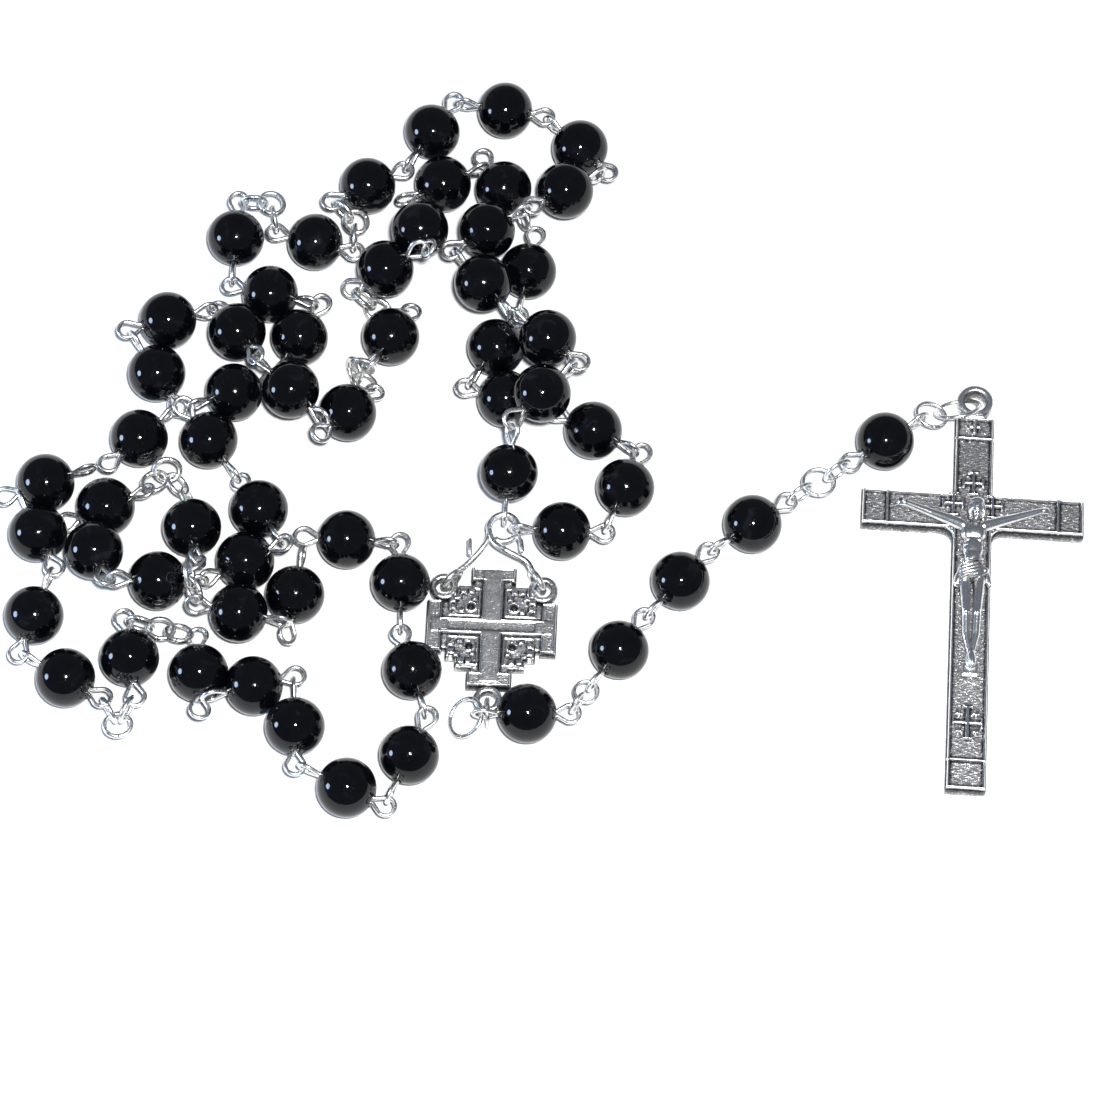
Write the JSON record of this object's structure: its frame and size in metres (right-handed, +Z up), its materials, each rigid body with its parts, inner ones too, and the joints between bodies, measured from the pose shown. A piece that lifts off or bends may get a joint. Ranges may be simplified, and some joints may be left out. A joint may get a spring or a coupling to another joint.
{
  "type": "rosary",
  "caption": "Five-decade prayer beads of round black beads on looped wire pins, with a cross-shaped centre medal, a short pendant and a crucifix, laid in a loose heap.",
  "frame": {"origin": "middle of the laid-out heap's outline, on the table it lies on", "axes": "+X from the heap towards the crucifix, +Y from the crucifix's foot towards its bail, +Z up from the table"},
  "size_m": [0.1292, 0.098, 0.0121],
  "materials": {
    "black_glass": "polished, opaque black",
    "silver_wire": "bright silver-plated wire",
    "antique_silver": "cast, dark in the hollows and polished on the raised edges"
  },
  "bodies": {
    "hanger": {"medal_hanger": "silver_wire"},
    "medal": {"centre_medal": "antique_silver"},
    "decade_1_pair_1": {"decade_1_beads_1_2": "black_glass"},
    "decade_1_pair_2": {"decade_1_beads_3_4": "black_glass"},
    "decade_1_pair_3": {"decade_1_beads_5_6": "black_glass"},
    "decade_1_pair_4": {"decade_1_beads_7_8": "black_glass"},
    "decade_1_pair_5": {"decade_1_beads_9_10": "black_glass"},
    "single_1_and_chains": {"chain_before_single_1": "silver_wire", "single_bead_1": "black_glass", "chain_after_single_1": "silver_wire"},
    "decade_2_pair_1": {"decade_2_beads_1_2": "black_glass"},
    "decade_2_pair_2": {"decade_2_beads_3_4": "black_glass"},
    "decade_2_pair_3": {"decade_2_beads_5_6": "black_glass"},
    "decade_2_pair_4": {"decade_2_beads_7_8": "black_glass"},
    "decade_2_pair_5": {"decade_2_beads_9_10": "black_glass"},
    "single_2_and_chains": {"chain_before_single_2": "silver_wire", "single_bead_2": "black_glass", "chain_after_single_2": "silver_wire"},
    "decade_3_pair_1": {"decade_3_beads_1_2": "black_glass"},
    "decade_3_pair_2": {"decade_3_beads_3_4": "black_glass"},
    "decade_3_pair_3": {"decade_3_beads_5_6": "black_glass"},
    "decade_3_pair_4": {"decade_3_beads_7_8": "black_glass"},
    "decade_3_pair_5": {"decade_3_beads_9_10": "black_glass"},
    "single_3_and_chains": {"chain_before_single_3": "silver_wire", "single_bead_3": "black_glass", "chain_after_single_3": "silver_wire"},
    "decade_5_pair_5": {"decade_5_beads_9_10": "black_glass"},
    "decade_5_pair_4": {"decade_5_beads_7_8": "black_glass"},
    "decade_5_pair_3": {"decade_5_beads_5_6": "black_glass"},
    "decade_5_pair_2": {"decade_5_beads_3_4": "black_glass"},
    "decade_5_pair_1": {"decade_5_beads_1_2": "black_glass"},
    "single_4_and_chains": {"chain_before_single_4": "silver_wire", "single_bead_4": "black_glass", "chain_after_single_4": "silver_wire"},
    "decade_4_pair_5": {"decade_4_beads_9_10": "black_glass"},
    "decade_4_pair_4": {"decade_4_beads_7_8": "black_glass"},
    "decade_4_pair_3": {"decade_4_beads_5_6": "black_glass"},
    "decade_4_pair_2": {"decade_4_beads_3_4": "black_glass"},
    "decade_4_pair_1": {"decade_4_beads_1_2": "black_glass"},
    "foot_ring": {"medal_foot_ring": "silver_wire"},
    "first_pin": {"pendant_single_1_pin": "silver_wire"},
    "single_1_bead": {"pendant_single_1_bead": "black_glass"},
    "jump_ring": {"loose_jump_ring": "silver_wire"},
    "ring_1": {"pendant_ring_1": "silver_wire"},
    "ring_2": {"pendant_ring_2": "silver_wire"},
    "second_pin": {"pendant_three_1_pin": "silver_wire"},
    "three_1_bead": {"pendant_three_1_bead": "black_glass"},
    "third_pin": {"pendant_three_2_pin": "silver_wire"},
    "three_2_bead": {"pendant_three_2_bead": "black_glass"},
    "fourth_pin": {"pendant_three_3_pin": "silver_wire"},
    "three_3_bead": {"pendant_three_3_bead": "black_glass"},
    "link_1": {"pendant_chain_link_1": "silver_wire"},
    "link_2": {"pendant_chain_link_2": "silver_wire"},
    "link_3": {"pendant_chain_link_3": "silver_wire"},
    "last_pin": {"pendant_single_2_pin": "silver_wire"},
    "single_2_bead": {"pendant_single_2_bead": "black_glass"},
    "flat_ring": {"crucifix_chain_ring": "silver_wire"},
    "bail_ring": {"crucifix_ring": "silver_wire"},
    "crucifix": {"crucifix_cross": "antique_silver", "crucifix_figure": "antique_silver"}
  },
  "joints": [
    {"name": "decade_1_pair_1_swing", "type": "hinge", "parent": "hanger", "child": "decade_1_pair_1", "pos_m": [0.00344, -0.00729, 0.00354], "axis": [-0.8222, -0.5692, -0.0023], "range_deg": [0, 30]},
    {"name": "decade_1_pair_2_stays", "type": "hinge", "parent": "decade_1_pair_1", "child": "decade_1_pair_2", "pos_m": [0.00344, -0.00729, 0.00354], "axis": [-0.8222, -0.5692, -0.0023], "range_deg": [-30.5, 0.5]},
    {"name": "decade_1_pair_3_swing", "type": "hinge", "parent": "decade_1_pair_2", "child": "decade_1_pair_3", "pos_m": [-0.00532, 0.01756, 0.0035], "axis": [-0.3346, -0.9424, 0], "range_deg": [0, 14]},
    {"name": "decade_1_pair_4_stays", "type": "hinge", "parent": "decade_1_pair_3", "child": "decade_1_pair_4", "pos_m": [-0.00532, 0.01756, 0.0035], "axis": [-0.3346, -0.9424, 0], "range_deg": [-14.5, 0.5]},
    {"name": "decade_1_pair_5_swing", "type": "hinge", "parent": "decade_1_pair_4", "child": "decade_1_pair_5", "pos_m": [-0.01993, 0.02597, 0.00341], "axis": [-0.4326, -0.9002, -0.0501], "range_deg": [0, 30]},
    {"name": "single_1_and_chains_stays", "type": "hinge", "parent": "decade_1_pair_5", "child": "single_1_and_chains", "pos_m": [-0.01993, 0.02597, 0.00341], "axis": [-0.4326, -0.9002, -0.0501], "range_deg": [-30.5, 0.5]},
    {"name": "decade_2_pair_1_swing", "type": "hinge", "parent": "single_1_and_chains", "child": "decade_2_pair_1", "pos_m": [-0.02753, 0.00787, 0.0043], "axis": [-0.9469, 0.1103, 0.3021], "range_deg": [0, 3]},
    {"name": "decade_2_pair_2_stays", "type": "hinge", "parent": "decade_2_pair_1", "child": "decade_2_pair_2", "pos_m": [-0.02753, 0.00787, 0.0043], "axis": [-0.9469, 0.1103, 0.3021], "range_deg": [-3.5, 0.5]},
    {"name": "decade_2_pair_3_swing", "type": "hinge", "parent": "decade_2_pair_2", "child": "decade_2_pair_3", "pos_m": [-0.05151, 0.00441, 0.00432], "axis": [-0.1567, -0.9874, -0.024], "range_deg": [0, 14]},
    {"name": "decade_2_pair_4_stays", "type": "hinge", "parent": "decade_2_pair_3", "child": "decade_2_pair_4", "pos_m": [-0.05151, 0.00441, 0.00432], "axis": [-0.1567, -0.9874, -0.024], "range_deg": [-14.5, 0.5]},
    {"name": "decade_2_pair_5_swing", "type": "hinge", "parent": "decade_2_pair_4", "child": "decade_2_pair_5", "pos_m": [-0.0548, -0.0266, 0.00363], "axis": [-0.3911, 0.9203, 0.005], "range_deg": [0, 30]},
    {"name": "single_2_and_chains_stays", "type": "hinge", "parent": "decade_2_pair_5", "child": "single_2_and_chains", "pos_m": [-0.0548, -0.0266, 0.00363], "axis": [-0.3911, 0.9203, 0.005], "range_deg": [-30.5, 0.5]},
    {"name": "decade_3_pair_1_swing", "type": "hinge", "parent": "single_2_and_chains", "child": "decade_3_pair_1", "pos_m": [-0.03523, -0.02901, 0.00296], "axis": [-0.8856, 0.464, -0.0203], "range_deg": [0, 25]},
    {"name": "decade_3_pair_2_stays", "type": "hinge", "parent": "decade_3_pair_1", "child": "decade_3_pair_2", "pos_m": [-0.03523, -0.02901, 0.00296], "axis": [-0.8856, 0.464, -0.0203], "range_deg": [-25.5, 0.5]},
    {"name": "decade_3_pair_3_swing", "type": "hinge", "parent": "decade_3_pair_2", "child": "decade_3_pair_3", "pos_m": [-0.01747, -0.03602, 0.00322], "axis": [-0.0508, -0.9987, 0.0069], "range_deg": [0, 30]},
    {"name": "decade_3_pair_4_stays", "type": "hinge", "parent": "decade_3_pair_3", "child": "decade_3_pair_4", "pos_m": [-0.01747, -0.03602, 0.00322], "axis": [-0.0508, -0.9987, 0.0069], "range_deg": [-30.5, 0.5]},
    {"name": "decade_3_pair_5_swing", "type": "hinge", "parent": "decade_3_pair_4", "child": "decade_3_pair_5", "pos_m": [-0.03473, -0.0184, 0.00454], "axis": [-0.8191, -0.5519, 0.1568], "range_deg": [0, 18]},
    {"name": "single_3_and_chains_stays", "type": "hinge", "parent": "decade_3_pair_5", "child": "single_3_and_chains", "pos_m": [-0.03473, -0.0184, 0.00454], "axis": [-0.8191, -0.5519, 0.1568], "range_deg": [-18.5, 0.5]},
    {"name": "decade_5_pair_5_swing", "type": "hinge", "parent": "hanger", "child": "decade_5_pair_5", "pos_m": [-0.00066, -0.00228, 0.00552], "axis": [0.3942, 0.8901, 0.2285], "range_deg": [0, 30]},
    {"name": "decade_5_pair_4_stays", "type": "hinge", "parent": "decade_5_pair_5", "child": "decade_5_pair_4", "pos_m": [-0.00066, -0.00228, 0.00552], "axis": [0.3942, 0.8901, 0.2285], "range_deg": [-30.5, 0.5]},
    {"name": "decade_5_pair_3_swing", "type": "hinge", "parent": "decade_5_pair_4", "child": "decade_5_pair_3", "pos_m": [-0.00192, 0.02981, 0.00491], "axis": [0.8251, 0.5605, -0.0712], "range_deg": [0, 14]},
    {"name": "decade_5_pair_2_stays", "type": "hinge", "parent": "decade_5_pair_3", "child": "decade_5_pair_2", "pos_m": [-0.00192, 0.02981, 0.00491], "axis": [0.8251, 0.5605, -0.0712], "range_deg": [-14.5, 0.5]},
    {"name": "decade_5_pair_1_swing", "type": "hinge", "parent": "decade_5_pair_2", "child": "decade_5_pair_1", "pos_m": [-0.01816, 0.03954, 0.00382], "axis": [0.7368, 0.6761, -0.0065], "range_deg": [0, 30]},
    {"name": "single_4_and_chains_stays", "type": "hinge", "parent": "decade_5_pair_1", "child": "single_4_and_chains", "pos_m": [-0.01816, 0.03954, 0.00382], "axis": [0.7368, 0.6761, -0.0065], "range_deg": [-30.5, 0.5]},
    {"name": "decade_4_pair_5_swing", "type": "hinge", "parent": "single_4_and_chains", "child": "decade_4_pair_5", "pos_m": [-0.03263, 0.0249, 0.00393], "axis": [-0.529, 0.8485, -0.0139], "range_deg": [0, 30]},
    {"name": "decade_4_pair_4_stays", "type": "hinge", "parent": "decade_4_pair_5", "child": "decade_4_pair_4", "pos_m": [-0.03263, 0.0249, 0.00393], "axis": [-0.529, 0.8485, -0.0139], "range_deg": [-30.5, 0.5]},
    {"name": "decade_4_pair_3_swing", "type": "hinge", "parent": "decade_4_pair_4", "child": "decade_4_pair_3", "pos_m": [-0.037, -0.00577, 0.00513], "axis": [-0.5316, 0.8469, -0.0075], "range_deg": [0, 18]},
    {"name": "decade_4_pair_2_stays", "type": "hinge", "parent": "decade_4_pair_3", "child": "decade_4_pair_2", "pos_m": [-0.037, -0.00577, 0.00513], "axis": [-0.5316, 0.8469, -0.0075], "range_deg": [-18.5, 0.5]},
    {"name": "decade_4_pair_1_swing", "type": "hinge", "parent": "decade_4_pair_2", "child": "decade_4_pair_1", "pos_m": [-0.04896, -0.01404, 0.0053], "axis": [0.3028, 0.944, -0.131], "range_deg": [0, 30]},
    {"name": "medal_swing", "type": "hinge", "parent": "hanger", "child": "medal", "pos_m": [-0.00608, -0.01959, 0.00182], "axis": [-0.9991, 0.0419, 0], "range_deg": [0, 20]},
    {"name": "foot_ring_turn", "type": "hinge", "parent": "medal", "child": "foot_ring", "pos_m": [-0.00668, -0.03388, 0.00182], "axis": [0, 0, 1], "range_deg": [-25, 10]},
    {"name": "first_pin_lift", "type": "hinge", "parent": "foot_ring", "child": "first_pin", "pos_m": [-0.00699, -0.03624, 0.00352], "axis": [0, -1, 0], "range_deg": [0, 8]},
    {"name": "single_1_bead_spin", "type": "hinge", "parent": "first_pin", "child": "single_1_bead", "pos_m": [-0.00206, -0.03624, 0.00352], "axis": [1, 0, 0], "continuous": true},
    {"name": "jump_ring_tilt", "type": "hinge", "parent": "first_pin", "child": "jump_ring", "pos_m": [-0.00739, -0.03624, 0.00367], "axis": [0, 1, 0], "range_deg": [-6, 40]},
    {"name": "second_way_turn", "type": "hinge", "parent": "first_pin", "child": "ring_1", "pos_m": [0.00287, -0.03624, 0.00352], "axis": [0, 0, 1], "range_deg": [-40, 10]},
    {"name": "ring_2_lift", "type": "hinge", "parent": "ring_1", "child": "ring_2", "pos_m": [0.00385, -0.03489, 0.00352], "axis": [0.809, -0.5878, 0], "range_deg": [0, 30]},
    {"name": "second_pin_turn", "type": "hinge", "parent": "ring_2", "child": "second_pin", "pos_m": [0.00485, -0.03351, 0.00352], "axis": [0, 0, -1], "range_deg": [-15, 40]},
    {"name": "three_1_bead_spin", "type": "hinge", "parent": "second_pin", "child": "three_1_bead", "pos_m": [0.00873, -0.02817, 0.00352], "axis": [0.5878, 0.809, 0], "continuous": true},
    {"name": "third_pin_turn", "type": "hinge", "parent": "second_pin", "child": "third_pin", "pos_m": [0.01162, -0.02418, 0.00352], "axis": [0, 0, 1], "range_deg": [-40, 24]},
    {"name": "three_2_bead_spin", "type": "hinge", "parent": "third_pin", "child": "three_2_bead", "pos_m": [0.01602, -0.0193, 0.00352], "axis": [0.6691, 0.7431, 0], "continuous": true},
    {"name": "fourth_pin_turn", "type": "hinge", "parent": "third_pin", "child": "fourth_pin", "pos_m": [0.01932, -0.01564, 0.00352], "axis": [0, 0, -1], "range_deg": [-40, 40]},
    {"name": "three_3_bead_spin", "type": "hinge", "parent": "fourth_pin", "child": "three_3_bead", "pos_m": [0.0247, -0.01187, 0.00352], "axis": [0.8192, 0.5736, 0], "continuous": true},
    {"name": "link_1_turn", "type": "hinge", "parent": "fourth_pin", "child": "link_1", "pos_m": [0.02874, -0.00904, 0.00352], "axis": [0, 0, 1], "range_deg": [-40, 40]},
    {"name": "link_2_lift", "type": "hinge", "parent": "link_1", "child": "link_2", "pos_m": [0.03054, -0.00783, 0.00352], "axis": [0.5592, -0.829, 0], "range_deg": [0, 25]},
    {"name": "link_3_turn", "type": "hinge", "parent": "link_2", "child": "link_3", "pos_m": [0.03278, -0.00632, 0.00352], "axis": [0, 0, -1], "range_deg": [-40, 40]},
    {"name": "last_pin_lift", "type": "hinge", "parent": "link_3", "child": "last_pin", "pos_m": [0.03501, -0.00481, 0.00352], "axis": [0.5592, -0.829, 0], "range_deg": [0, 25]},
    {"name": "single_2_bead_spin", "type": "hinge", "parent": "last_pin", "child": "single_2_bead", "pos_m": [0.0409, -0.00084, 0.00352], "axis": [0.829, 0.5592, 0], "continuous": true},
    {"name": "flat_ring_lift", "type": "hinge", "parent": "last_pin", "child": "flat_ring", "pos_m": [0.04499, 0.00192, 0.00352], "axis": [0.5592, -0.829, 0], "range_deg": [0, 25]},
    {"name": "bail_ring_turn", "type": "hinge", "parent": "flat_ring", "child": "bail_ring", "pos_m": [0.04668, 0.00306, 0.00277], "axis": [0, 0, 1], "range_deg": [-6, 30]},
    {"name": "crucifix_turn", "type": "hinge", "parent": "bail_ring", "child": "crucifix", "pos_m": [0.0522, 0.00535, 0.0017], "axis": [0, 0, -1], "range_deg": [-40, 7]}
  ],
  "couplings": [
    {"joint": "decade_1_pair_2_stays", "follows": "decade_1_pair_1_swing", "ratio": -1},
    {"joint": "decade_1_pair_4_stays", "follows": "decade_1_pair_3_swing", "ratio": -1},
    {"joint": "single_1_and_chains_stays", "follows": "decade_1_pair_5_swing", "ratio": -1},
    {"joint": "decade_2_pair_2_stays", "follows": "decade_2_pair_1_swing", "ratio": -1},
    {"joint": "decade_2_pair_4_stays", "follows": "decade_2_pair_3_swing", "ratio": -1},
    {"joint": "single_2_and_chains_stays", "follows": "decade_2_pair_5_swing", "ratio": -1},
    {"joint": "decade_3_pair_2_stays", "follows": "decade_3_pair_1_swing", "ratio": -1},
    {"joint": "decade_3_pair_4_stays", "follows": "decade_3_pair_3_swing", "ratio": -1},
    {"joint": "single_3_and_chains_stays", "follows": "decade_3_pair_5_swing", "ratio": -1},
    {"joint": "decade_5_pair_4_stays", "follows": "decade_5_pair_5_swing", "ratio": -1},
    {"joint": "decade_5_pair_2_stays", "follows": "decade_5_pair_3_swing", "ratio": -1},
    {"joint": "single_4_and_chains_stays", "follows": "decade_5_pair_1_swing", "ratio": -1},
    {"joint": "decade_4_pair_4_stays", "follows": "decade_4_pair_5_swing", "ratio": -1},
    {"joint": "decade_4_pair_2_stays", "follows": "decade_4_pair_3_swing", "ratio": -1}
  ]
}
